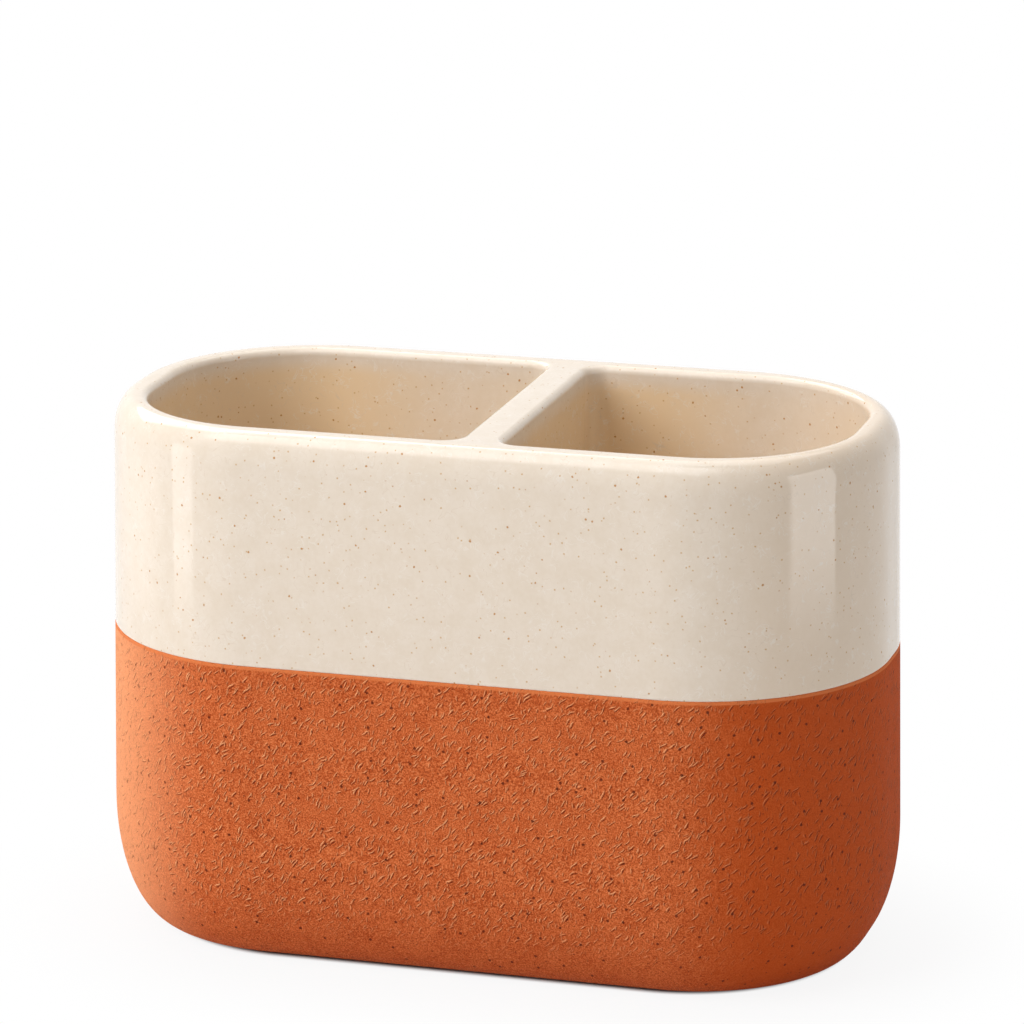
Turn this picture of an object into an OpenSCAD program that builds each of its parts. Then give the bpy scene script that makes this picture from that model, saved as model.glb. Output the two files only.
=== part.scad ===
// Toothbrush holder: a one-piece clay body with two compartments, glazed above
// a level line and inside, standing on four soft pads.
// Origin: middle of the footprint, on the surface that it stands on. +X runs
// along its length, +Y to the back, +Z up. Millimetres.

/* [Body] */
// Length over the rim
body_l = 150; // [120:1:190]
// Depth over the rim
body_d = 77.2; // [74:0.2:110]
// Height of the clay, from its foot to the top of the rim
body_h = 103.6; // [80:0.2:140]
// Plan radius of the four upright corners at the rim
corner_r = 35.8; // [24:0.1:36]
// How far each wall leans out between the rim and the foot
wall_lean = 1.7; // [0:0.1:4]
// Thickness of the front and back walls at the rim, glaze included
wall_t = 7.1; // [6.2:0.1:12]
// Thickness of the wall at the left end, glaze included
left_wall_t = 7.1; // [6:0.1:12]
// Thickness of the wall at the right end, glaze included
right_wall_t = 6.3; // [6:0.1:12]
// Thickness of the floor, glaze included
floor_t = 7.5; // [5:0.5:14]

/* [Base] */
// How far the base rounding reaches in from the wall
base_round_w = 10.8; // [4:0.1:14]
// How far the base rounding reaches up the wall
base_round_h = 24.8; // [10:0.2:40]
// Width of the flat foot that runs round the underside
foot_w = 8; // [4:0.5:12]
// Depth of the recess inside the foot
recess_depth = 1.2; // [0.6:0.1:2]

/* [Rim] */
// How far the outer shoulder of the rim reaches in
shoulder_w = 3.9; // [2:0.1:4.2]
// How far the outer shoulder of the rim reaches down
shoulder_h = 6.5; // [2:0.1:12]
// Radius of the inner edge of the rim and of the divider's edges
lip_r = 1.5; // [1:0.1:1.9]

/* [Compartments] */
// Thickness of the divider
divider_t = 8; // [4:0.1:10]
// Distance of the divider's middle from the middle of the body
divider_offset = 4.2; // [-15:0.1:15]
// How much tighter the outer corners of the compartments turn than a wall of even thickness needs
corner_tuck = 2; // [0:0.1:4]
// Plan radius where the divider meets the walls
divider_corner_r = 4; // [2:0.1:10]
// Radius where the walls meet the floor
floor_corner_r = 3.5; // [1:0.1:8]

/* [Glaze] */
// Height of the glaze line above the foot
glaze_line_h = 59.2; // [42:0.2:70]
// Thickness of the glaze
glaze_t = 0.6; // [0.3:0.05:0.9]

/* [Pads] */
// Diameter of a pad
pad_d = 10; // [6:0.5:14]
// How far a pad stands below the foot
pad_proud = 0.4; // [0.2:0.1:1]
// Radius of a pad's lower edge
pad_edge_r = 0.4; // [0.1:0.1:0.5]
// Gap between a pad and the edge of the recess
pad_gap = 1.5; // [0.5:0.1:3]
// Direction of a pad from the centre of its recess corner, in degrees
pad_bearing = 70; // [30:1:90]

/* [Hidden] */
// Each cut runs past the surface that it opens by this much.
overrun = 1;
// Segments of each rounding in the profiles
base_steps = 12;
shoulder_steps = 8;
lip_steps = 5;
floor_steps = 5;
$fn = 96;

// Plan of the body at the rim
half_l = body_l / 2;
half_d = body_d / 2;

// Plan of the compartments
inner_half_d = half_d - wall_t;
inner_corner_r = corner_r - wall_t - corner_tuck;
left_end = left_wall_t - half_l;
right_end = half_l - right_wall_t;
divider_left = divider_offset - divider_t / 2;
divider_right = divider_offset + divider_t / 2;

// The two roundings of the rim share the wall where it is thinnest, round an outer corner.
function corner_wall(end_wall_t) =
    wall_t + corner_tuck - norm([max(0, wall_t + corner_tuck - end_wall_t), corner_tuck]);
thin_wall = min(corner_wall(left_wall_t), corner_wall(right_wall_t));
shoulder_share = 0.7;
lip_share = 0.27;
shoulder_in = min(shoulder_w, shoulder_share * thin_wall);
lip_in = min(lip_r, lip_share * thin_wall);

// A rounding inside a compartment can't be larger than the corner it turns in.
turn_share = 0.9;
floor_r = min(floor_corner_r, turn_share * divider_corner_r);

// Plan of the recess in the underside
recess_in = base_round_w + foot_w;
recess_corner_r = corner_r + wall_lean - recess_in;
pad_reach = recess_corner_r - pad_gap - pad_d / 2;
pad_x = half_l - corner_r + pad_reach * cos(pad_bearing);
pad_y = half_d - corner_r + pad_reach * sin(pad_bearing);
pad_h = recess_depth + pad_proud;

clay_colour = "#c2603a";
glaze_colour = "#e9dfd0";
pad_colour = "#d9d6cf";

// A profile is a list of [out, z] points from the bottom up: out is how far the
// surface lies outside the plan outline at the height z above the foot.

// Point of the leaning outer wall, drawn in by inset
function wall_point(inset, z) = [wall_lean * (1 - z / body_h) - inset, z];

// Elliptic rounding from the foot up to the wall
function base_curve() = [
    for (i = [0 : base_steps])
        let (turn = 90 * i / base_steps)
            wall_point(base_round_w * (1 - sin(turn)), base_round_h * (1 - cos(turn)))
];

// Elliptic shoulder from the wall up to the crest, a skin below the surface
function shoulder_curve(skin) = [
    for (i = [0 : shoulder_steps])
        let (turn = 90 * i / shoulder_steps)
            wall_point(shoulder_in - (shoulder_in - skin) * cos(turn),
                body_h - shoulder_h + (shoulder_h - skin) * sin(turn))
];

// Whole outside of the clay: flush with the glaze below the line, a skin below it above the line
function clay_profile() = concat(
    base_curve(),
    [wall_point(0, glaze_line_h), wall_point(glaze_t, glaze_line_h)],
    shoulder_curve(glaze_t)
);

// Outside above the glaze line, starting below it by extra
function upper_profile(skin, extra) = concat(
    [wall_point(skin, glaze_line_h - extra)],
    shoulder_curve(skin)
);

// Compartment, its surface moved into the clay by skin, and carried past the crest by extra
function bay_profile(skin, extra) = concat(
    [
        for (i = [0 : floor_steps])
            let (turn = 90 * i / floor_steps)
                [(floor_r + skin) * sin(turn) - floor_r,
                    floor_t + floor_r - (floor_r + skin) * cos(turn)]
    ],
    [
        for (i = [0 : lip_steps])
            let (turn = 90 * i / lip_steps)
                [lip_in - (lip_in - skin) * cos(turn),
                    body_h - lip_in + (lip_in - skin) * sin(turn)]
    ],
    extra > 0 ? [[lip_in, body_h - skin + extra]] : []
);

// Closed section from the line out = -reach to the profile
function section(profile, reach) = concat(
    [[0, profile[0].y]],
    [for (p = profile) [p.x + reach, p.y]],
    [[0, profile[len(profile) - 1].y]]
);

// Closed section between two mirrored profiles, reach either side of the middle
function double_section(profile, reach) = concat(
    [for (p = profile) [p.x + reach, p.y]],
    [for (i = [len(profile) - 1 : -1 : 0]) [-profile[i].x - reach, profile[i].y]]
);

// Section drawn in X and Z, carried along Y from y0 to y1
module along_y(points, y0, y1) {
    translate([0, y1, 0])
        rotate([90, 0, 0])
            linear_extrude(y1 - y0)
                polygon(points);
}

// Section drawn in Y and Z, carried along X from x0 to x1
module along_x(points, x0, x1) {
    translate([x0, 0, 0])
        rotate([90, 0, 90])
            linear_extrude(x1 - x0)
                polygon(points);
}

// Both corners at one end of a plan, turned about their centres at (x, +-y)
module end_corners(profile, r, x, y, side) {
    mirror([side < 0 ? 1 : 0, 0, 0])
        translate([side * x, 0, 0])
            for (flip = [0, 1])
                mirror([0, flip, 0])
                    translate([0, y, 0])
                        rotate_extrude(angle = 90)
                            polygon(section(profile, r));
}

// Solid with a profile carried round a rounded rectangle, from x0 to x1 and
// half_w either side of X, with corner radius r0 at x0 and r1 at x1
module carried_round(profile, x0, x1, half_w, r0, r1) {
    left = x0 + r0;
    right = x1 - r1;
    end_corners(profile, r0, left, half_w - r0, -1);
    end_corners(profile, r1, right, half_w - r1, 1);
    along_x(double_section(profile, half_w), left, right);
    translate([left, 0, 0])
        mirror([1, 0, 0])
            along_y(section(profile, r0), r0 - half_w, half_w - r0);
    translate([right, 0, 0])
        along_y(section(profile, r1), r1 - half_w, half_w - r1);
}

// Solid inside the outer wall's profile
module outside(profile) {
    carried_round(profile, -half_l, half_l, half_d, corner_r, corner_r);
}

// Both compartments
module bays(skin, extra) {
    profile = bay_profile(skin, extra);
    carried_round(profile, left_end, divider_left, inner_half_d, inner_corner_r, divider_corner_r);
    carried_round(profile, divider_right, right_end, inner_half_d, divider_corner_r, inner_corner_r);
}

module clay_body() {
    color(clay_colour)
        translate([0, 0, pad_proud])
            difference() {
                outside(clay_profile());
                bays(glaze_t, overrun);
                outside([wall_point(recess_in, -overrun), [wall_lean - recess_in, recess_depth]]);
            }
}

// Glaze over the upper outside, the crest and the divider, and down into both compartments
module glaze_coat() {
    color(glaze_colour)
        translate([0, 0, pad_proud])
            difference() {
                union() {
                    difference() {
                        outside(upper_profile(0, 0));
                        outside(upper_profile(glaze_t, overrun));
                    }
                    bays(glaze_t, 0);
                }
                bays(0, overrun);
            }
}

// Soft disc in a corner of the recess, with a rounded lower edge
module pad(side_x, side_y) {
    color(pad_colour)
        translate([side_x * pad_x, side_y * pad_y, 0])
            rotate_extrude()
                difference() {
                    square([pad_d / 2, pad_h]);
                    translate([pad_d / 2 - pad_edge_r, 0])
                        difference() {
                            square(pad_edge_r);
                            translate([0, pad_edge_r])
                                circle(pad_edge_r);
                        }
                }
}

module pad_front_left() {
    pad(-1, -1);
}

module pad_front_right() {
    pad(1, -1);
}

module pad_back_left() {
    pad(-1, 1);
}

module pad_back_right() {
    pad(1, 1);
}

clay_body();
glaze_coat();
pad_front_left();
pad_front_right();
pad_back_left();
pad_back_right();
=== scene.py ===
"""Looks of a two-compartment ceramic holder: bare terracotta below a level line, speckled cream glaze above.

Lengths are in metres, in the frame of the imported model: the holder stands on z = 0, its length along X.
"""

import logging
import math
from collections.abc import Callable, Mapping, Sequence
from dataclasses import dataclass
from enum import Enum
from itertools import pairwise

import bmesh
import bpy
from mathutils import Matrix, Vector


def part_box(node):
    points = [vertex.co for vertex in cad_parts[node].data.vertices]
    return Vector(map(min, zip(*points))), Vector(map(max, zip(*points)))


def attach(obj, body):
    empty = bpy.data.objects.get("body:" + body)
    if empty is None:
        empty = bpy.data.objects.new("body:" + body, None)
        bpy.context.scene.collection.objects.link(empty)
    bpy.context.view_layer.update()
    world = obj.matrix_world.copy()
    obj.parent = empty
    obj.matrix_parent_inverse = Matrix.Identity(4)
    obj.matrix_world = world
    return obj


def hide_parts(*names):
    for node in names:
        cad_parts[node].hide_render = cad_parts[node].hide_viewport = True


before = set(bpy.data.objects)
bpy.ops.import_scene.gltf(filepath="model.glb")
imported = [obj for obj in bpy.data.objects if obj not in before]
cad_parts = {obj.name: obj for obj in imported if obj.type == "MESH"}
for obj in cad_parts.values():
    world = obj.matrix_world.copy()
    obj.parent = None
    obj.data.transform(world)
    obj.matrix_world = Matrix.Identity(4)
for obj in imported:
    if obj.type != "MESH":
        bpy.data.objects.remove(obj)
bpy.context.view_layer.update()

log = logging.getLogger("holder")

Colour = tuple[float, float, float, float]
Offset = tuple[float, float, float]
Point = tuple[float, float]
Span = tuple[float, float]

WHITE: Colour = (1, 1, 1, 1)
# Sockets of a colour Mix node by place, because other sockets of the node share their names.
MIX_FIRST = 6
MIX_SECOND = 7
MIX_RESULT = 2
TOUCH = 1e-6
CORNER_STEPS = 32
BASE_STEPS = 24
SHOULDER_STEPS = 20
LIP_STEPS = 12
FLOOR_STEPS = 10
EDGE_STEPS = 5
SMOOTH_ANGLE = math.radians(35)


class Facing(Enum):
    """The side that a flat plate's normal points to."""

    UP = 1
    DOWN = -1


class Ray(Enum):
    """The kinds of ray that see the plain white background."""

    CAMERA = "Is Camera Ray"
    GLOSSY = "Is Glossy Ray"
    TRANSMISSION = "Is Transmission Ray"


class Seen(Enum):
    """What a lamp does: it lights surfaces, it shows as a reflection, or both."""

    LIGHT = (True, False)
    REFLECTION = (False, True)
    BOTH = (True, True)


class Signal:
    """One output of a shader node, on which Python's own operators work."""

    def __init__(self, graph: "Graph", socket: bpy.types.NodeSocket) -> None:
        """Keeps the socket and the graph that it belongs to."""
        self.graph = graph
        self.socket = socket

    def sibling(self, name: str) -> "Signal":
        """Another output of the same node, by its name."""
        return Signal(self.graph, self.socket.node.outputs[name])

    def __add__(self, other: "Signal | float") -> "Signal":
        """Sum of this signal and another."""
        return self.graph.math("ADD", self, other)

    def __sub__(self, other: "Signal | float") -> "Signal":
        """Difference of this signal and another."""
        return self.graph.math("SUBTRACT", self, other)

    def __rsub__(self, other: float) -> "Signal":
        """Difference of a number and this signal."""
        return self.graph.math("SUBTRACT", other, self)

    def __mul__(self, other: "Signal | float") -> "Signal":
        """Product of this signal and another."""
        return self.graph.math("MULTIPLY", self, other)

    def __abs__(self) -> "Signal":
        """This signal without its sign."""
        return self.graph.math("ABSOLUTE", self)

    def larger(self, other: "Signal | float") -> "Signal":
        """The larger of this signal and another."""
        return self.graph.math("MAXIMUM", self, other)

    def rise(self, low: "Signal | float", high: "Signal | float") -> "Signal":
        """A smooth step.

        Args:
            low: Value at which the step is still 0.
            high: Value from which it is 1.

        Returns:
            The step, from 0 to 1.
        """
        settings = {"interpolation_type": "SMOOTHSTEP"}
        inputs = {"Value": self, "From Min": low, "From Max": high}
        return self.graph.node("ShaderNodeMapRange", settings, inputs)


class Graph:
    """The node tree of a material, a lamp or the world."""

    def __init__(self, tree: bpy.types.NodeTree) -> None:
        """Takes a node tree and empties it."""
        self.tree = tree
        tree.nodes.clear()

    def node(
        self,
        kind: str,
        settings: Mapping[str, object] | None = None,
        inputs: Mapping[str | int, object] | None = None,
        output: str | int = 0,
    ) -> Signal:
        """Adds a node.

        Args:
            kind: The node's type.
            settings: Its own settings, which are set before its sockets.
            inputs: For each socket, by name or place, the signal that feeds it or its value.
            output: The output that is wanted, by name or place.

        Returns:
            That output.
        """
        made = self.tree.nodes.new(kind)
        for name, value in (settings or {}).items():
            setattr(made, name, value)
        for name, value in (inputs or {}).items():
            if isinstance(value, Signal):
                self.tree.links.new(value.socket, made.inputs[name])
            else:
                made.inputs[name].default_value = value
        return Signal(self, made.outputs[output])

    def math(self, operation: str, *values: Signal | float) -> Signal:
        """Adds a Math node, from its operation and its inputs in order."""
        return self.node("ShaderNodeMath", {"operation": operation}, dict(enumerate(values)))

    def arrows(self, operation: str, inputs: Mapping[str | int, object], output: str | int = 0) -> Signal:
        """Adds a Vector Math node, from its operation and, for each socket, a signal or a value."""
        return self.node("ShaderNodeVectorMath", {"operation": operation}, inputs, output)

    def place(self) -> Signal:
        """The point on the piece, in metres, as a vector."""
        return self.node("ShaderNodeTexCoord", output="Object")

    def part(self, vector: Signal, axis: str) -> Signal:
        """One coordinate of a vector, by its letter."""
        return self.node("ShaderNodeSeparateXYZ", inputs={0: vector}, output=axis)

    def unrolled(self, place: Signal, half_size: Point) -> Signal:
        """Lays the outer wall out flat.

        Args:
            place: The point on the piece.
            half_size: Half the length and half the depth of the wall's plan.

        Returns:
            A vector of the distance along the wall from the middle of its front, and the height.
        """
        x, y, z = (self.part(place, axis) for axis in "XYZ")
        radius = half_size[1]
        straight = half_size[0] - radius
        end = (abs(x) - straight).larger(0.0)
        turn = self.math("ARCTAN2", end, y * -1)
        side = self.math("SIGN", y * -1)
        run = turn * radius + (abs(x) - end - straight) * side + straight
        return self.node("ShaderNodeCombineXYZ", inputs={"X": run * self.math("SIGN", x), "Y": z})

    def reach(self, place: Signal, half_size: Point) -> Signal:
        """Distance of a point, seen from above, from the line between the centres of a plan's round ends.

        Args:
            place: The point.
            half_size: Half the length and half the depth of the plan.

        Returns:
            The distance in metres.
        """
        radius = min(half_size)
        beside = (abs(self.part(place, "X")) - (max(half_size) - radius)).larger(0.0)
        across = self.part(place, "Y")
        return self.math("SQRT", beside * beside + across * across)

    def moved(self, vector: Signal, offset: Offset) -> Signal:
        """A vector moved by a fixed offset, so that the same pattern can be used again elsewhere."""
        return self.arrows("ADD", {0: vector, 1: offset})

    def stretched(self, vector: Signal, along: Vector, share: float) -> Signal:
        """Coordinates in which a pattern comes out longer in one direction.

        Args:
            vector: The coordinates.
            along: Direction of the stretch, of length 1.
            share: What is left of the coordinate along it: 0.5 makes the pattern twice as long.

        Returns:
            The new coordinates.
        """
        run = self.arrows("DOT_PRODUCT", {0: vector, 1: along}, "Value")
        lost = self.arrows("SCALE", {0: along, "Scale": run * (1 - share)})
        return self.arrows("SUBTRACT", {0: vector, 1: lost})

    def noise(self, vector: Signal, size: float, detail: float = 1.0, bend: float = 0.0) -> Signal:
        """Soft random clouds of a size in metres, from 0 to 1, with finer layers, bent out of round."""
        inputs = {"Vector": vector, "Scale": 1 / size, "Detail": detail, "Distortion": bend}
        return self.node("ShaderNodeTexNoise", inputs=inputs)

    def shaken(self, vector: Signal, size: float, amount: float) -> Signal:
        """Coordinates that bend a pattern out of its regular form.

        Args:
            vector: The coordinates.
            size: Length over which the bend changes.
            amount: Greatest bend.

        Returns:
            The new coordinates.
        """
        inputs = {"Vector": vector, "Scale": 1 / size}
        shake = self.node("ShaderNodeTexNoise", inputs=inputs, output="Color")
        step = self.arrows("SCALE", {0: shake, "Scale": amount})
        return self.arrows("ADD", {0: vector, 1: step})

    def spots(
        self, vector: Signal, spacing: float, radius: float, share: float, soft: float, space: str = "3D"
    ) -> Signal:
        """Scattered round spots.

        Args:
            vector: Coordinates in metres.
            spacing: Mean distance between the cells that may hold a spot.
            radius: Largest radius of a spot.
            share: Share of the cells that hold one.
            soft: Share of the radius over which the edge fades.
            space: Dimensions of the pattern: 2D on coordinates that are laid out flat.

        Returns:
            1 in a spot and 0 elsewhere.
        """
        settings = {"voronoi_dimensions": space}
        inputs = {"Vector": vector, "Scale": 1 / spacing}
        distance = self.node("ShaderNodeTexVoronoi", settings, inputs, "Distance")
        lot = self.node("ShaderNodeSeparateColor", inputs={0: distance.sibling("Color")}, output="Red")
        reach = radius / spacing
        inside = 1 - distance.rise(reach * (1 - soft), reach)
        return inside * lot.rise(1 - share, 1 - share + TOUCH)

    def threads(self, vector: Signal, size: float, width: float, bend: float) -> Signal:
        """1 on thin lines where soft clouds cross their middle value, to a width on that scale, else 0."""
        level = self.noise(vector, size, bend=bend)
        return 1 - abs(level - 0.5).rise(0.0, width)

    def mix(self, factor: "Signal | float", first: "Signal | Colour", second: "Signal | Colour") -> Signal:
        """Mixes two colours.

        Args:
            factor: Share of the second colour.
            first: Colour at 0.
            second: Colour at 1.

        Returns:
            The mixed colour.
        """
        settings = {"data_type": "RGBA", "clamp_factor": True}
        inputs = {"Factor": factor, MIX_FIRST: first, MIX_SECOND: second}
        return self.node("ShaderNodeMix", settings, inputs, MIX_RESULT)

    def bump(self, height: Signal, depth: float, normal: Signal | None = None) -> Signal:
        """Relief.

        Args:
            height: Height, where 1 stands for depth.
            depth: That depth in metres.
            normal: Relief that lies under this one.

        Returns:
            The normal.
        """
        inputs = {"Height": height, "Distance": depth}
        if normal is not None:
            inputs["Normal"] = normal
        return self.node("ShaderNodeBump", inputs=inputs)

    def surface(self, shader: Signal, kind: str = "ShaderNodeOutputMaterial") -> None:
        """Sends a shader to the output."""
        self.tree.links.new(shader.socket, self.tree.nodes.new(kind).inputs["Surface"])


def new_material(name: str) -> tuple[bpy.types.Material, Graph]:
    """Makes an empty material.

    Args:
        name: Its name.

    Returns:
        The material, and the graph of its nodes.
    """
    material = bpy.data.materials.new(name)
    material.use_nodes = True
    return material, Graph(material.node_tree)


@dataclass(frozen=True)
class Tint:
    """A colour, the largest share that it takes of a surface's colour, and how much less at each end."""

    colour: Colour
    share: float
    less_left: float = 0.0
    less_right: float = 0.0

    def over(self, colour: Signal, mask: Signal, ends: tuple[Signal, Signal] | None = None) -> Signal:
        """Lays the tint over a colour.

        Args:
            colour: The colour below.
            mask: Where the tint lies.
            ends: Masks of the left and the right end, for a tint that is weaker there.

        Returns:
            The new colour.
        """
        share = self.share
        if ends:
            share = share - ends[0] * self.less_left - ends[1] * self.less_right
        return mask.graph.mix(mask * share, colour, self.colour)


@dataclass(frozen=True)
class Spots:
    """Scattered round spots: spacing, largest radius, share of the places that hold one, and softness."""

    spacing: float
    radius: float
    share: float
    soft: float
    offset: Offset = (0.0, 0.0, 0.0)

    def mask(self, graph: Graph, vector: Signal, space: str = "3D") -> Signal:
        """1 in a spot and 0 elsewhere, on solid or on flat coordinates."""
        place = graph.moved(vector, self.offset)
        return graph.spots(place, self.spacing, self.radius, self.share, self.soft, space)


@dataclass(frozen=True)
class Strokes:
    """Short raised strokes: lean from level in degrees, sizes in metres, and width as a share of length."""

    lean: float
    spacing: float
    half_width: float
    narrow: float
    offset: Offset
    share: float = 0.8
    soft: float = 0.6
    height: float = 1.0

    def relief(self, graph: Graph, bent: Signal) -> Signal:
        """Draws the strokes.

        Args:
            graph: The material's graph.
            bent: The wall laid out flat, a little bent.

        Returns:
            The strokes' height on their crests and 0 beside them.
        """
        lean = math.radians(self.lean)
        along = Vector((math.cos(lean), math.sin(lean), 0))
        long = graph.stretched(graph.moved(bent, self.offset), along, self.narrow)
        return graph.spots(long, self.spacing, self.half_width, self.share, self.soft, "2D") * self.height


@dataclass(frozen=True)
class Threads:
    """Thin curved marks: size and bend of the clouds whose middle they follow, and where patches show."""

    size: float
    width: float
    bend: float
    offset: Offset
    patch_size: float
    patch_span: Span
    patch_offset: Offset = (0.0, 0.0, 0.0)

    def mask(self, graph: Graph, place: Signal) -> Signal:
        """Draws the marks.

        Args:
            graph: The material's graph.
            place: The point on the piece.

        Returns:
            1 on a mark and 0 elsewhere.
        """
        lines = graph.threads(graph.moved(place, self.offset), self.size, self.width, self.bend)
        patches = graph.noise(graph.moved(place, self.patch_offset), self.patch_size)
        return lines * patches.rise(*self.patch_span)


@dataclass(frozen=True)
class TerracottaFinish:
    """Bare fired clay: fine grain, short curved strokes that lean one way, small pits, a smoother foot.

    A bend is the length over which it changes and its greatest amount. A span is where a change begins
    and ends.
    """

    slot: str = "terracotta"
    deep: Colour = (0.47, 0.076, 0.013, 1)
    body: Colour = (0.62, 0.134, 0.034, 1)
    pale: Tint = Tint((0.84, 0.260, 0.090, 1), 0.68)
    shadow: Tint = Tint((0.13, 0.011, 0.001, 1), 0.50)
    left_painted_light: Tint = Tint((0.94, 0.390, 0.180, 1), 0.78)
    right_painted_shade: Tint = Tint((0.50, 0.066, 0.003, 1), 0.80)
    stroke_painted_shadow: Tint = Tint((0.13, 0.011, 0.001, 1), 0.95, less_left=0.55)
    crest: Tint = Tint((1.00, 0.460, 0.210, 1), 0.92, less_left=0.40, less_right=0.66)
    pit: Tint = Tint((0.14, 0.020, 0.005, 1), 0.92, less_left=0.50)
    line_highlight: Tint = Tint((0.74, 0.200, 0.060, 1), 0.85)
    main_strokes: Strokes = Strokes(56, 0.00066, 0.00010, 0.10, (0.3, 0.1, 0.0))
    low_strokes: Strokes = Strokes(38, 0.00076, 0.00010, 0.10, (0.7, 0.4, 0.0))
    steep_strokes: Strokes = Strokes(80, 0.00076, 0.00009, 0.14, (0.5, 0.9, 0.0), height=0.7)
    large_pits: Spots = Spots(0.0046, 0.00033, 0.55, 0.4)
    small_pits: Spots = Spots(0.00276, 0.000198, 0.6, 0.6, (0.4, 0.6, 0.0))
    small_pit_depth: float = 0.7
    wide_bend: Span = (0.0045, 0.0024)
    fine_bend: Span = (0.0007, 0.00020)
    pit_bend: Span = (0.0005, 0.00025)
    groove_shift: float = 0.00009
    groove_depth: float = 0.6
    stroke_height: float = 0.00008
    crowd_size: float = 0.005
    crowded: Span = (0.40, 0.52)
    thinned: Span = (0.46, 0.60)
    mottle_size: float = 0.0045
    mottle_span: Span = (0.25, 0.75)
    mottle_share: float = 0.6
    swell_size: float = 0.0011
    swell_span: Span = (0.3, 0.7)
    swell_height: float = 0.00010
    grain_size: float = 0.00028
    grain_height: float = 0.00013
    pale_grain: Span = (0.45, 0.70)
    dark_grain: Span = (0.30, 0.50)
    stroke_zone: Span = (0.0045, 0.0162)
    pit_zone: Span = (0.001, 0.004)
    foot_shade_zone: Span = (0.002, 0.022)
    foot_painted_shade: float = 0.25
    line_zone: float = 0.005
    line_deepening: float = 0.20
    line_highlight_depths: Span = (0.0008, 0.0005)
    left_end: Span = (-0.0735, -0.0465)
    shaded_right_end: Span = (0.040, 0.060)
    roughness: float = 0.85
    specular_level: float = 0.15

    def material(self, line: float, half_size: Point) -> bpy.types.Material:
        """Makes the material.

        Args:
            line: Height of the glaze line.
            half_size: Half the length and half the depth of the wall's plan.

        Returns:
            The material.
        """
        made, graph = new_material("fired_terracotta")
        place = graph.place()
        length, height = graph.part(place, "X"), graph.part(place, "Z")
        flat = graph.unrolled(place, half_size)
        bent = graph.shaken(graph.shaken(flat, *self.wide_bend), *self.fine_bend)
        crowd = graph.noise(flat, self.crowd_size, detail=2.0)
        stroke_zone = height.rise(*self.stroke_zone)
        # Strokes drawn twice, moved apart: the copy up and to the left rises as ridges and takes a painted
        # highlight, the copy down and to the right sinks as grooves and takes a painted shadow, as if lit
        # from the upper left.
        shift = self.groove_shift
        ridges = self.marks(graph, graph.moved(bent, (shift, -shift, 0)), crowd) * stroke_zone
        grooves = self.marks(graph, graph.moved(bent, (-shift, shift, 0)), crowd) * stroke_zone
        pits = self.pits(graph, flat) * height.rise(*self.pit_zone)
        grain = graph.noise(place, self.grain_size, detail=2.0)
        swell = graph.noise(place, self.swell_size, detail=2.0)
        mottle = graph.noise(place, self.mottle_size, detail=3.0)
        # Painted highlight: a lighter band just below the glaze line, where the clay's rounded top edge
        # faces the light.
        deep, shallow = self.line_highlight_depths
        line_highlight = height.rise(line - deep, line - shallow)
        # Darker just below the glaze line, and painted shade on the rounding towards the foot.
        deepened = height.rise(line - self.line_zone, line) * self.line_deepening
        deepened = deepened + (1 - height.rise(*self.foot_shade_zone)) * self.foot_painted_shade
        left, right = 1 - length.rise(*self.left_end), length.rise(*self.shaded_right_end)
        ends = (left, right)

        clouds = mottle.rise(*self.mottle_span) * self.mottle_share
        clouds = clouds + swell.rise(*self.swell_span) * (1 - self.mottle_share)
        colour = graph.mix(clouds, self.deep, self.body)
        colour = self.pale.over(colour, grain.rise(*self.pale_grain))
        colour = self.shadow.over(colour, 1 - grain.rise(*self.dark_grain))
        colour = graph.mix(deepened, colour, self.deep)
        # Painted light: a paler, whiter clay colour at the left end stands for the grazing light there.
        colour = self.left_painted_light.over(colour, left)
        # Painted shade: a darker, deeper clay colour at the right end, where the light falls off.
        colour = self.right_painted_shade.over(colour, right)
        # Painted shadow on each stroke's lower right side and painted highlight on its upper left side; the
        # relief under them is real bump.
        colour = self.stroke_painted_shadow.over(colour, grooves, ends)
        colour = self.crest.over(colour, ridges, ends)
        colour = self.pit.over(colour, pits, ends)
        # Painted highlight just below the glaze line.
        colour = self.line_highlight.over(colour, line_highlight)

        fine = graph.bump(grain, self.grain_height)
        wide = graph.bump(swell, self.swell_height, fine)
        inputs = {
            "Base Color": colour,
            "Roughness": self.roughness,
            "Specular IOR Level": self.specular_level,
            "Normal": graph.bump(ridges - grooves * self.groove_depth - pits, self.stroke_height, wide),
        }
        graph.surface(graph.node("ShaderNodeBsdfPrincipled", inputs=inputs))
        return made

    def marks(self, graph: Graph, bent: Signal, crowd: Signal) -> Signal:
        """All the strokes together, thinned out in places.

        Args:
            graph: The material's graph.
            bent: The wall laid out flat, a little bent.
            crowd: Soft clouds that say where the strokes are many.

        Returns:
            1 on a crest and 0 elsewhere.
        """
        main = self.main_strokes.relief(graph, bent) * crowd.rise(*self.crowded)
        low = self.low_strokes.relief(graph, bent) * (1 - crowd.rise(*self.thinned))
        return main.larger(low).larger(self.steep_strokes.relief(graph, bent))

    def pits(self, graph: Graph, flat: Signal) -> Signal:
        """Small round pits of two sizes.

        Args:
            graph: The material's graph.
            flat: The wall laid out flat.

        Returns:
            1 in a pit and 0 elsewhere.
        """
        ragged = graph.shaken(flat, *self.pit_bend)
        small = self.small_pits.mask(graph, ragged, "2D") * self.small_pit_depth
        return self.large_pits.mask(graph, ragged, "2D").larger(small)


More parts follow.
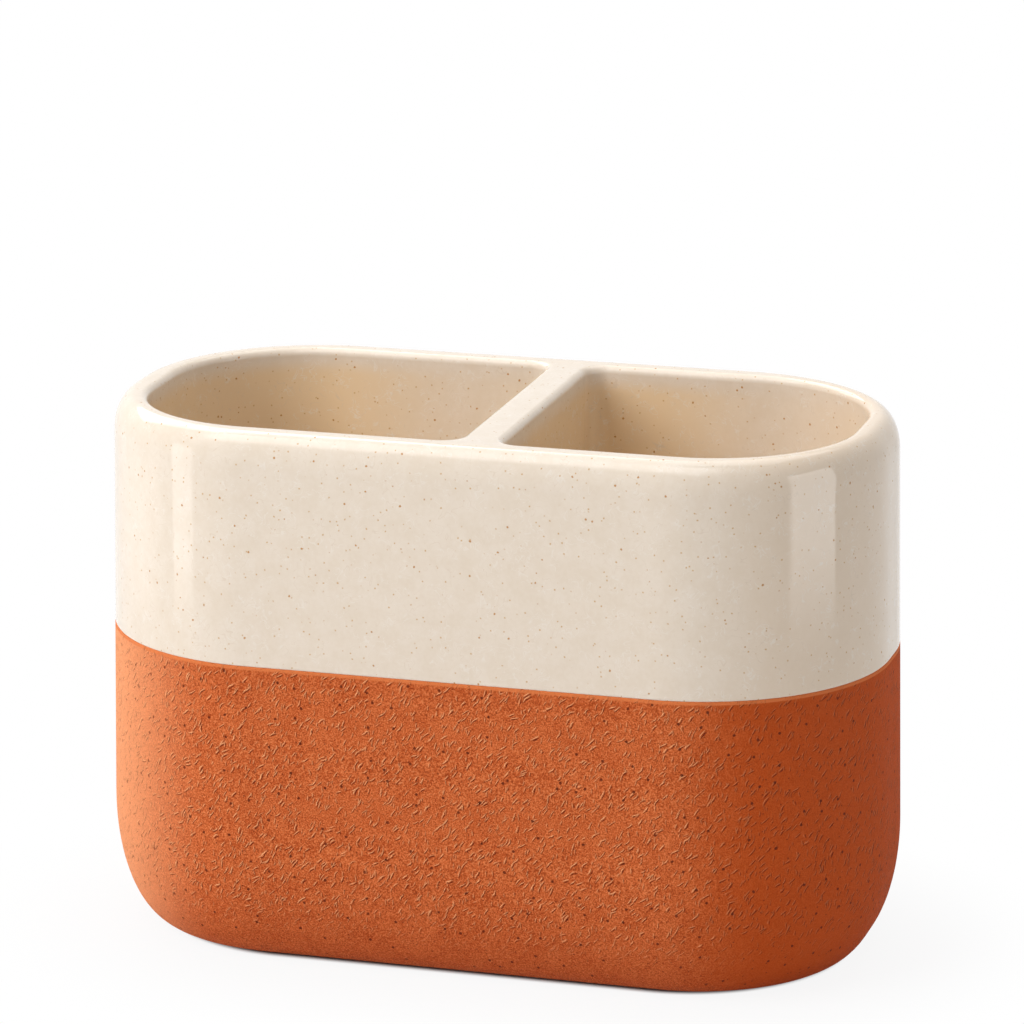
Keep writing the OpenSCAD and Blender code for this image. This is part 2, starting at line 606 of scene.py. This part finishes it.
@dataclass(frozen=True)
class SpeckledGlazeFinish:
    """Glossy cream glaze with sparse iron specks and faint marks.

    A span is where a change begins and ends.
    """

    slot: str = "cream_glaze"
    cream: Colour = (0.771, 0.658, 0.533, 1)
    pale: Colour = (0.806, 0.702, 0.588, 1)
    shade: Tint = Tint((0.80, 0.63, 0.465, 1), 0.6)
    deep: Tint = Tint((0.82, 0.620, 0.395, 1), 1.0)
    warm: Tint = Tint((0.70, 0.57, 0.44, 1), 0.50)
    light: Tint = Tint((0.84, 0.76, 0.67, 1), 0.60)
    faint_speck: Tint = Tint((0.60, 0.36, 0.14, 1), 0.85)
    speck: Tint = Tint((0.50, 0.225, 0.045, 1), 0.90)
    marks: Threads = Threads(0.0030, 0.012, 0.8, (0.2, 0.5, 0.1), 0.004, (0.50, 0.60))
    hairs: Threads = Threads(0.0019, 0.036, 1.2, (0.8, 0.1, 0.4), 0.003, (0.48, 0.60), (0.5, 0.5, 0.9))
    specks: Spots = Spots(0.0027, 0.00029, 0.7, 0.5)
    faint_specks: Spots = Spots(0.0014, 0.0002494, 0.8, 0.7, (0.3, 0.2, 0.6))
    speck_bend: Span = (0.0006, 0.0003)
    cloud_size: float = 0.004
    fine_size: float = 0.0008
    cloud_span: Span = (0.35, 0.65)
    cloud_share: float = 0.65
    wave_size: float = 0.011
    wave_height: float = 0.00003
    skin_size: float = 0.0011
    skin_height: float = 0.0000012
    shaded_right_end: Span = (0.044, 0.066)
    inner_depths: Span = (0.0055, 0.0045)
    below_crest: Span = (0.0985, 0.1025)
    left_bay: Span = (-0.045, -0.015)
    divider_face: Span = (0.0, 0.003)
    right_bay: Span = (0.020, 0.045)
    least_inside_shade: float = 0.2
    roughness: float = 0.055
    ior: float = 1.5

    def material(self, half_size: Point) -> bpy.types.Material:
        """Makes the material.

        Args:
            half_size: Half the length and half the depth of the wall's plan.

        Returns:
            The material.
        """
        made, graph = new_material("speckled_cream_glaze")
        place = graph.place()
        ragged = graph.shaken(place, *self.speck_bend)
        clouds = graph.noise(place, self.cloud_size, detail=5.0).rise(*self.cloud_span) * self.cloud_share
        fine = graph.noise(place, self.fine_size, detail=2.0).rise(*self.cloud_span) * (1 - self.cloud_share)

        colour = graph.mix(clouds + fine, self.cream, self.pale)
        # Painted shade: a warmer, darker glaze colour at the right end, where the light falls off.
        colour = self.shade.over(colour, graph.part(place, "X").rise(*self.shaded_right_end))
        # Painted shade inside the compartments: a warmer, darker glaze colour where light reaches only after
        # bouncing.
        colour = self.deep.over(colour, self.inside(graph, place, half_size))
        colour = self.warm.over(colour, self.marks.mask(graph, place))
        colour = self.light.over(colour, self.hairs.mask(graph, place))
        colour = self.faint_speck.over(colour, self.faint_specks.mask(graph, ragged))
        colour = self.speck.over(colour, self.specks.mask(graph, ragged))

        waves = graph.bump(graph.noise(place, self.wave_size), self.wave_height)
        inputs = {
            "Base Color": colour,
            "Roughness": self.roughness,
            "IOR": self.ior,
            "Normal": graph.bump(graph.noise(place, self.skin_size), self.skin_height, waves),
        }
        graph.surface(graph.node("ShaderNodeBsdfPrincipled", inputs=inputs))
        return made

    def inside(self, graph: Graph, place: Signal, half_size: Point) -> Signal:
        """Where painted shade lies inside the compartments: a warmer, darker glaze colour than outside,
        strongest in the left bay's left part and beside the divider in the right bay.

        Args:
            graph: The material's graph.
            place: The point on the piece.
            half_size: Half the length and half the depth of the wall's plan.

        Returns:
            Up to 1 well inside the wall and below the crest, less away from the shaded places, 0 outside.
        """
        deep, shallow = (min(half_size) - depth for depth in self.inner_depths)
        x, z = graph.part(place, "X"), graph.part(place, "Z")
        inside = (1 - graph.reach(place, half_size).rise(deep, shallow)) * (1 - z.rise(*self.below_crest))
        left = 1 - x.rise(*self.left_bay)
        middle = x.rise(*self.divider_face) * (1 - x.rise(*self.right_bay))
        return inside * (left.larger(middle) * (1 - self.least_inside_shade) + self.least_inside_shade)


@dataclass(frozen=True)
class SoftPadFinish:
    """Milky soft silicone with a matt skin."""

    slot: str = "soft_pad"
    body: Colour = (0.58, 0.57, 0.53, 1)
    worn: Colour = (0.50, 0.48, 0.44, 1)
    cloud_size: float = 0.003
    cloud_span: Span = (0.35, 0.7)
    skin_size: float = 0.0004
    skin_height: float = 0.00001
    roughness: float = 0.55

    def material(self) -> bpy.types.Material:
        """Makes the material.

        Returns:
            The material.
        """
        made, graph = new_material("milky_silicone")
        place = graph.place()
        clouds = graph.noise(place, self.cloud_size, detail=2.0)
        skin = graph.noise(place, self.skin_size, detail=2.0)
        inputs = {
            "Base Color": graph.mix(clouds.rise(*self.cloud_span), self.body, self.worn),
            "Roughness": self.roughness,
            "Normal": graph.bump(skin, self.skin_height),
        }
        graph.surface(graph.node("ShaderNodeBsdfPrincipled", inputs=inputs))
        return made


@dataclass
class Workpiece:
    """A mesh on the bench, shaped in edit mode one operator at a time."""

    name: str
    item: bpy.types.Object | None = None
    facing: Facing = Facing.UP

    def plate(self, low: Point, high: Point, height: float, radii: Point, facing: Facing) -> "Workpiece":
        """Starts from a flat plate with rounded corners, and selects it.

        Args:
            low: Lowest X and Y.
            high: Highest X and Y.
            height: Height of the plate.
            radii: Corner radius at the low X end and at the high X end.
            facing: Side that it faces.

        Returns:
            This workpiece.
        """
        bpy.ops.object.select_all(action="DESELECT")
        bpy.ops.mesh.primitive_plane_add(size=1)
        self.item = bpy.context.object
        self.item.name = self.item.data.name = self.name
        self.item.scale = (high[0] - low[0], high[1] - low[1], 1)
        self.item.location = ((low[0] + high[0]) / 2, (low[1] + high[1]) / 2, height)
        self.settle()
        bpy.ops.object.mode_set(mode="EDIT")
        for end, radius in zip((low[0], high[0]), radii):
            self.select_vertices(lambda place: abs(place.x - end) < TOUCH)
            bpy.ops.mesh.bevel(
                offset=radius, offset_type="OFFSET", segments=CORNER_STEPS, profile=0.5, affect="VERTICES"
            )
        bpy.ops.mesh.select_mode(type="FACE")
        bpy.ops.mesh.select_all(action="SELECT")
        if facing is Facing.DOWN:
            bpy.ops.mesh.flip_normals()
        self.facing = facing
        return self

    def settle(self) -> None:
        """Puts the piece's place and size into its mesh."""
        bpy.ops.object.transform_apply(location=True, rotation=True, scale=True)

    def select_vertices(self, test: Callable[[Vector], bool]) -> None:
        """Selects some of the vertices.

        Args:
            test: Says for a vertex's place whether it is selected.
        """
        bpy.ops.mesh.select_mode(type="VERT")
        bpy.ops.mesh.select_all(action="DESELECT")
        mesh = bmesh.from_edit_mesh(self.item.data)
        for vertex in mesh.verts:
            vertex.select_set(test(vertex.co))
        mesh.select_flush(True)
        bmesh.update_edit_mesh(self.item.data)

    def select_rims(self, height: float) -> None:
        """Selects the open edges that lie level.

        Args:
            height: Their height.
        """
        bpy.ops.mesh.select_mode(type="EDGE")
        bpy.ops.mesh.select_all(action="DESELECT")
        mesh = bmesh.from_edit_mesh(self.item.data)
        for edge in mesh.edges:
            level = all(abs(vertex.co.z - height) < TOUCH for vertex in edge.verts)
            edge.select_set(edge.is_boundary and level)
        bmesh.update_edit_mesh(self.item.data)

    def carry(self, section: Sequence[Point], open_end: bool = False) -> "Workpiece":
        """Carries a section round the selected face: each step insets the face and moves it along.

        Args:
            section: Points of the section, as distance outside the plan and height.
            open_end: Whether the last face is taken out.

        Returns:
            This workpiece.
        """
        for (out, height), (next_out, next_height) in pairwise(section):
            bpy.ops.mesh.inset(
                thickness=out - next_out,
                depth=(next_height - height) * self.facing.value,
                use_boundary=True,
                use_even_offset=True,
            )
        if open_end:
            bpy.ops.mesh.delete(type="ONLY_FACE")
        bpy.ops.object.mode_set(mode="OBJECT")
        return self

    def join(self, *others: "Workpiece") -> None:
        """Joins other workpieces to this one, and merges the vertices that meet.

        Args:
            others: The other workpieces.
        """
        bpy.ops.object.select_all(action="DESELECT")
        for piece in (self, *others):
            piece.item.select_set(True)
        bpy.context.view_layer.objects.active = self.item
        bpy.ops.object.join()
        bpy.ops.object.mode_set(mode="EDIT")
        bpy.ops.mesh.select_all(action="SELECT")
        bpy.ops.mesh.remove_doubles(threshold=TOUCH)

    def close_level(self, height: float) -> None:
        """Fills the flat between all the open rims at a height."""
        self.select_rims(height)
        bpy.ops.mesh.fill(use_beauty=True)

    def smooth(self) -> "Workpiece":
        """Turns all faces outwards and shades the piece smooth up to a set angle.

        Returns:
            This workpiece.
        """
        bpy.ops.mesh.select_all(action="SELECT")
        bpy.ops.mesh.normals_make_consistent(inside=False)
        bpy.ops.object.mode_set(mode="OBJECT")
        bpy.ops.object.shade_smooth_by_angle(angle=SMOOTH_ANGLE)
        return self

    def dress(self, material: bpy.types.Material, slot: str, *nodes: str) -> None:
        """Gives the piece its finish, and lets it stand for its CAD nodes on the holder's one body.

        Args:
            material: The finish.
            slot: Not used.
            nodes: The CAD nodes that the piece replaces.
        """
        self.item.data.materials.append(material)
        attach(self.item, "root")
        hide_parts(*nodes)
        log.info("%s: %d faces, for %s", self.name, len(self.item.data.polygons), ", ".join(nodes))


@dataclass(frozen=True)
class VesselForm:
    """The vessel's sections and plans. Heights in a section are above the foot until they are lifted."""

    foot: float
    crest: float
    widest: Point
    lean: float = 0.0017
    corner_radius: float = 0.0358
    wall: float = 0.0071
    end_walls: Point = (0.0071, 0.0063)
    floor: float = 0.0075
    base_reach: float = 0.0108
    base_rise: float = 0.0248
    foot_width: float = 0.008
    recess_depth: float = 0.0012
    foot_round: float = 0.0004
    shoulder_reach: float = 0.0039
    shoulder_drop: float = 0.0065
    lip_radius: float = 0.0015
    divider: float = 0.008
    divider_middle: float = 0.0042
    corner_tuck: float = 0.002
    divider_corner_radius: float = 0.004
    floor_round: float = 0.0035
    glaze: float = 0.0006
    line: float = 0.0592
    edge_rise: float = 0.0005
    edge_reach: float = 0.0002

    @classmethod
    def from_model(cls) -> "VesselForm":
        """Takes the foot's and the crest's height and the greatest half length and depth from the model."""
        low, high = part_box("clay_body")
        return cls(low.z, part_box("glaze_coat")[1].z - low.z, (high.x, high.y))

    @property
    def half_size(self) -> Point:
        """Half the length and half the depth over the rim, before its shoulder."""
        lean = self.wall_point(0, self.base_rise)[0]
        return self.widest[0] - lean, self.widest[1] - lean

    def wall_point(self, inset: float, height: float) -> Point:
        """Point of the leaning outer wall, drawn in by an inset."""
        return self.lean * (1 - height / self.crest) - inset, height

    def lifted(self, section: Sequence[Point]) -> list[Point]:
        """A section with its heights above the foot changed to heights in the frame."""
        return [(out, height + self.foot) for out, height in section]

    def wall_arc(self, centre: Point, reach: Point, steps: int) -> list[Point]:
        """A quarter arc that leans with the outer wall, its centre given as inset and height."""
        return [self.wall_point(inset, height) for inset, height in arc(centre, reach, steps)]

    def base(self) -> list[Point]:
        """Section from the widest place down round the base to the foot, the recess and its ceiling.

        Returns:
            The section.
        """
        reach, rise, soft = self.base_reach, self.base_rise, self.foot_round
        down = self.wall_arc((reach, rise), (reach, -rise), BASE_STEPS)
        rim = down[-1][0] - self.foot_width
        mouth = arc((rim + soft, soft), (soft, -soft), EDGE_STEPS)[::-1]
        ceiling = arc((rim - soft, self.recess_depth - soft), (-soft, soft), EDGE_STEPS)
        return down + mouth + ceiling

    def shoulder(self, skin: float) -> list[Point]:
        """Section of the elliptic shoulder from the wall up to the crest, a skin below the surface."""
        reach, drop = self.shoulder_reach, self.shoulder_drop
        return self.wall_arc((reach, self.crest - drop), (reach - skin, drop - skin), SHOULDER_STEPS)

    def clay_wall(self) -> list[Point]:
        """Section from the widest place up: bare wall, rounded edge, then the wall under the glaze.

        Returns:
            The section.
        """
        centre = (self.edge_reach, self.line - self.edge_rise)
        edge = self.wall_arc(centre, (self.edge_reach, self.edge_rise), EDGE_STEPS)
        widest = self.wall_point(0, self.base_rise)
        return [widest, *edge, self.wall_point(self.glaze, self.line), *self.shoulder(self.glaze)]

    def glaze_edge(self) -> list[Point]:
        """Section of the glaze's rounded lower edge, from the wall down and in to the line."""
        centre = (self.edge_reach, self.line + self.edge_rise)
        return self.wall_arc(centre, (self.edge_reach, -self.edge_rise), EDGE_STEPS)

    def glaze_wall(self, skin: float) -> list[Point]:
        """Section from the lower edge up: wall, shoulder and crest, a skin below the surface."""
        start = self.line if skin else self.line + self.edge_rise
        return [self.wall_point(skin, start), *self.shoulder(skin)]

    def bay(self, skin: float) -> list[Point]:
        """Section from the crest down into a compartment.

        Args:
            skin: Its depth below the surface.

        Returns:
            The section.
        """
        lip, turn_in = self.lip_radius, self.floor_round
        down = arc((lip, self.crest - lip), (lip - skin, lip - skin), LIP_STEPS)[::-1]
        radius = turn_in + skin
        return down + arc((-turn_in, self.floor + turn_in), (-radius, -radius), FLOOR_STEPS)

    def outside(self, name: str, section: Sequence[Point], facing: Facing, open_end: bool) -> Workpiece:
        """Carries a section round the outer plan.

        Args:
            name: The piece's name.
            section: The section, its first point the outermost.
            facing: Side that it runs to.
            open_end: Whether its last face is left open.

        Returns:
            The piece.
        """
        out, height = section[0]
        far = Vector(self.half_size) + Vector((out, out))
        radius = self.corner_radius + out
        piece = Workpiece(name).plate(-far, far, height, (radius, radius), facing)
        return piece.carry(section, open_end)

    def bays(self, name: str, skin: float) -> list[Workpiece]:
        """Both compartments, open at the crest.

        Args:
            name: The pieces' name.
            skin: Their depth below the surface.

        Returns:
            The left and the right one.
        """
        section = self.lifted(self.bay(skin))
        out, height = section[0]
        half_l, half_d = self.half_size[0], self.half_size[1] - self.wall
        left, right = (self.divider_middle + side * self.divider / 2 for side in (-1, 1))
        outer, inner = self.corner_radius - self.wall - self.corner_tuck, self.divider_corner_radius
        plans = (
            (self.end_walls[0] - half_l, left, outer, inner),
            (right, half_l - self.end_walls[1], inner, outer),
        )
        made = []
        for x0, x1, r0, r1 in plans:
            low, high = (x0 - out, -half_d - out), (x1 + out, half_d + out)
            bay = Workpiece(name).plate(low, high, height, (r0 + out, r1 + out), Facing.UP)
            made.append(bay.carry(section))
        return made


def arc(centre: Point, reach: Point, steps: int) -> list[Point]:
    """Points of a quarter ellipse, from the first reach before its centre to the second reach above it."""
    turns = [math.pi / 2 * step / steps for step in range(steps + 1)]
    return [(centre[0] - reach[0] * math.cos(turn), centre[1] + reach[1] * math.sin(turn)) for turn in turns]


@dataclass
class ClayBody:
    """The one-piece clay body: base, wall, floor, divider and underside."""

    form: VesselForm
    finish: TerracottaFinish
    name: str = "terracotta_body"

    def build(self) -> Workpiece:
        """Models the body in two halves that meet at its widest place, then its two compartments.

        Returns:
            The piece.
        """
        form = self.form
        base = form.outside(self.name + "_base", form.lifted(form.base()), Facing.DOWN, open_end=False)
        wall = form.outside(self.name, form.lifted(form.clay_wall()), Facing.UP, open_end=True)
        wall.join(base, *form.bays(self.name + "_bay", form.glaze))
        wall.close_level(form.foot + form.crest - form.glaze)
        return wall.smooth()

    def dress(self, piece: Workpiece) -> None:
        """Gives the body its finish."""
        material = self.finish.material(self.form.foot + self.form.line, self.form.widest)
        piece.dress(material, self.finish.slot, "clay_body")


@dataclass
class GlazeCoat:
    """The glaze: one coat over the upper wall, the crest, the divider and both compartments."""

    form: VesselForm
    finish: SpeckledGlazeFinish
    name: str = "cream_glaze_coat"

    def build(self) -> Workpiece:
        """Models the coat's outer and inner face and joins them round its lower edge.

        Returns:
            The piece.
        """
        form = self.form
        edge = form.outside(self.name + "_edge", form.lifted(form.glaze_edge()), Facing.DOWN, open_end=True)
        back = self.face(self.name + "_back", form.glaze)
        front = self.face(self.name, 0.0)
        front.join(back, edge)
        front.close_level(form.foot + form.line)
        return front.smooth()

    def face(self, name: str, skin: float) -> Workpiece:
        """One face of the coat, a skin below its surface, open at its lower edge.

        Args:
            name: The piece's name.
            skin: Its depth below the surface.

        Returns:
            The piece, out of edit mode.
        """
        form = self.form
        made = form.outside(name, form.lifted(form.glaze_wall(skin)), Facing.UP, open_end=True)
        made.join(*form.bays(name + "_bay", skin))
        made.close_level(form.foot + form.crest - skin)
        bpy.ops.object.mode_set(mode="OBJECT")
        return made

    def dress(self, piece: Workpiece) -> None:
        """Gives the coat its finish."""
        piece.dress(self.finish.material(self.form.widest), self.finish.slot, "glaze_coat")


@dataclass
class SoftPad:
    """One of the four pads that the holder stands on."""

    node: str
    finish: SoftPadFinish
    edge_radius: float = 0.0004
    sides: int = 96

    def build(self) -> Workpiece:
        """Turns a disc to the CAD pad's size and rounds its lower edge.

        Returns:
            The piece.
        """
        low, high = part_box(self.node)
        middle = (low + high) / 2
        bpy.ops.object.select_all(action="DESELECT")
        bpy.ops.mesh.primitive_cylinder_add(
            vertices=self.sides, radius=(high.x - low.x) / 2, depth=high.z - low.z, location=middle
        )
        piece = Workpiece("soft_" + self.node, bpy.context.object)
        piece.item.name = piece.item.data.name = piece.name
        piece.settle()
        bpy.ops.object.mode_set(mode="EDIT")
        piece.select_vertices(lambda place: place.z < low.z + TOUCH)
        bpy.ops.mesh.bevel(offset=self.edge_radius, segments=EDGE_STEPS, profile=0.5, affect="EDGES")
        return piece.smooth()

    def dress(self, piece: Workpiece, material: bpy.types.Material) -> None:
        """Gives the pad its finish."""
        piece.dress(material, self.finish.slot, self.node)


@dataclass(frozen=True)
class Fade:
    """Shares of a soft box over which its light fades to each side. Its left has the lower azimuth."""

    left: float = 0.01
    right: float = 0.01
    foot: float = 0.01
    top: float = 0.01

    def strength(self, graph: Graph) -> Signal:
        """Strength of the light over the soft box.

        Args:
            graph: The lamp's graph.

        Returns:
            The strength, 1 where nothing fades.
        """
        spot = graph.node("ShaderNodeNewGeometry", output="Parametric")
        across, up = graph.part(spot, "X"), graph.part(spot, "Y")
        sides = across.rise(0.0, self.left) * (1 - across.rise(1 - self.right, 1.0))
        return sides * up.rise(0.0, self.foot) * (1 - up.rise(1 - self.top, 1.0))


@dataclass(frozen=True)
class Lamp:
    """A rectangular soft box that faces a point on the holder's upright axis.

    Azimuth is seen from above, 0 in front of the holder and 90 at its right end.
    """

    name: str
    azimuth: float
    elevation: float
    distance: float
    width: float
    height: float
    radiance: float
    aim_height: float = 0.06
    fade: Fade | None = None
    seen: Seen = Seen.REFLECTION

    def build(self) -> None:
        """Hangs the lamp."""
        light = bpy.data.lights.new(self.name, "AREA")
        light.shape = "RECTANGLE"
        light.size = self.width
        light.size_y = self.height
        light.energy = self.radiance * math.pi * self.width * self.height
        if self.fade:
            light.use_nodes = True
            graph = Graph(light.node_tree)
            glow = graph.node("ShaderNodeEmission", inputs={"Strength": self.fade.strength(graph)})
            graph.surface(glow, "ShaderNodeOutputLight")
        item = bpy.data.objects.new(self.name, light)
        bpy.context.scene.collection.objects.link(item)
        turn, rise = math.radians(self.azimuth), math.radians(self.elevation)
        away = Vector((math.sin(turn) * math.cos(rise), -math.cos(turn) * math.cos(rise), math.sin(rise)))
        item.location = Vector((0, 0, self.aim_height)) + away * self.distance
        item.rotation_euler = away.to_track_quat("Z", "Y").to_euler()
        item.visible_camera = False
        item.visible_diffuse, item.visible_glossy = self.seen.value
        log.info("lamp %s", self.name)


@dataclass(frozen=True)
class Studio:
    """A pale floor, a white background and plain soft light."""

    outline: Point
    floor_size: float = 8.0
    shadow_share: float = 0.10
    shadow_reach: float = 0.035
    hidden: float = 0.0102
    contact_reach: float = 0.0028
    floor_colour: Colour = (0.80, 0.80, 0.80, 1)
    room_light: float = 0.42
    lamps: tuple[Lamp, ...] = (
        Lamp("key", -50, 38, 1.4, 0.9, 0.9, 5.45, seen=Seen.LIGHT),
        Lamp("overhead", -164, 72, 0.9, 1.0, 0.8, 1.70, seen=Seen.BOTH),
        Lamp("shoulder_strip", -16, 60, 0.8, 1.2, 0.60, 3.2, 0.06, Fade(0.2, 0.4, 0.4, 0.2)),
        Lamp("left_strip", -58.3, 0, 0.188, 0.042, 0.120, 2.0, 0.0745, Fade(0.1, 0.1, 0.3, 0.03)),
        Lamp("left_glow", -94.5, 0, 0.261, 0.28, 0.080, 0.5, 0.040, Fade(0.7, 0.3, 0.2, 0.5)),
        Lamp("right_strip", 79.8, 0, 0.26, 0.133, 0.185, 2.6, 0.0925, Fade(0.15, 0.05, 0.27, 0.03)),
        Lamp("back_left", -125, 45, 0.7, 0.5, 0.5, 3.0),
    )

    def build(self) -> None:
        """Makes the floor, the background and the lamps."""
        bpy.ops.object.select_all(action="DESELECT")
        bpy.ops.mesh.primitive_plane_add(size=self.floor_size)
        floor = bpy.context.object
        floor.name = "floor"
        floor.data.materials.append(self.floor_material())
        self.background()
        for lamp in self.lamps:
            lamp.build()

    def white_rays(self, graph: Graph) -> Signal:
        """1 for the rays that see plain white, and 0 for those that light the holder."""
        first, second, third = (graph.node("ShaderNodeLightPath", output=ray.value) for ray in Ray)
        return first.larger(second).larger(third)

    def floor_material(self) -> bpy.types.Material:
        """A pale matt floor that turns to plain white away from the holder.

        Returns:
            The material.
        """
        made, graph = new_material("pale_floor")
        away = graph.reach(graph.place(), self.outline) - min(self.outline)
        matt = graph.node("ShaderNodeBsdfDiffuse", inputs={"Color": self.floor_colour})
        white = graph.node("ShaderNodeEmission", inputs={"Color": WHITE, "Strength": 1.0})
        contact = 1 - away.rise(-self.hidden, self.contact_reach - self.hidden)
        shadow = (1 - away.rise(0.0, self.shadow_reach)) * self.shadow_share
        share = self.white_rays(graph) * (1 - shadow.larger(contact))
        graph.surface(graph.node("ShaderNodeMixShader", inputs={0: share, 1: matt, 2: white}))
        return made

    def background(self) -> None:
        """A white world for the camera and for reflections, at a plain level for all other light."""
        world = bpy.data.worlds.new("white_room")
        world.use_nodes = True
        bpy.context.scene.world = world
        graph = Graph(world.node_tree)
        light, white = (
            graph.node("ShaderNodeBackground", inputs={"Color": WHITE, "Strength": strength})
            for strength in (self.room_light, 1.0)
        )
        mixed = graph.node("ShaderNodeMixShader", inputs={0: self.white_rays(graph), 1: light, 2: white})
        graph.surface(mixed, "ShaderNodeOutputWorld")


@dataclass(frozen=True)
class Camera:
    """The camera, in front of the holder, to its right and a little above it, angles in degrees."""

    azimuth: float = 16.29
    elevation: float = 15.06
    roll: float = -0.16
    distance: float = 1.04133
    aim_right: float = 0.00122
    aim_up: float = 0.07927
    focal_share: float = 5366.37 / 1024
    sensor: float = 36.0

    def build(self) -> None:
        """Sets up the camera and makes it the scene's own."""
        turn, rise, roll = (math.radians(angle) for angle in (self.azimuth, self.elevation, self.roll))
        back = Vector((math.sin(turn) * math.cos(rise), -math.cos(turn) * math.cos(rise), math.sin(rise)))
        level = Vector((math.cos(turn), math.sin(turn), 0))
        upright = back.cross(level)
        right = level * math.cos(roll) + upright * math.sin(roll)
        up = upright * math.cos(roll) - level * math.sin(roll)
        target = right * self.aim_right + up * self.aim_up
        data = bpy.data.cameras.new("camera")
        data.sensor_width = self.sensor
        data.lens = self.sensor * self.focal_share
        item = bpy.data.objects.new("camera", data)
        bpy.context.scene.collection.objects.link(item)
        place = Matrix((right, up, back)).transposed().to_4x4()
        place.translation = target + back * self.distance
        item.matrix_world = place
        bpy.context.scene.camera = item


def write_sizes() -> None:
    """Updates the view layer so that the pieces' places are current."""
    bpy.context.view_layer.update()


def main() -> None:
    """Builds and dresses the holder, then sets the studio and the camera."""
    logging.basicConfig(level=logging.INFO, format="%(name)s: %(message)s")
    form = VesselForm.from_model()
    for part in (ClayBody(form, TerracottaFinish()), GlazeCoat(form, SpeckledGlazeFinish())):
        part.dress(part.build())
    pad_finish = SoftPadFinish()
    pad_material = pad_finish.material()
    for node in sorted(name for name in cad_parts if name.startswith("pad_")):
        pad = SoftPad(node, pad_finish)
        pad.dress(pad.build(), pad_material)
    Studio(form.widest).build()
    Camera().build()
    bpy.context.scene.view_settings.view_transform = "Standard"
    write_sizes()


if __name__ == "__main__":
    main()
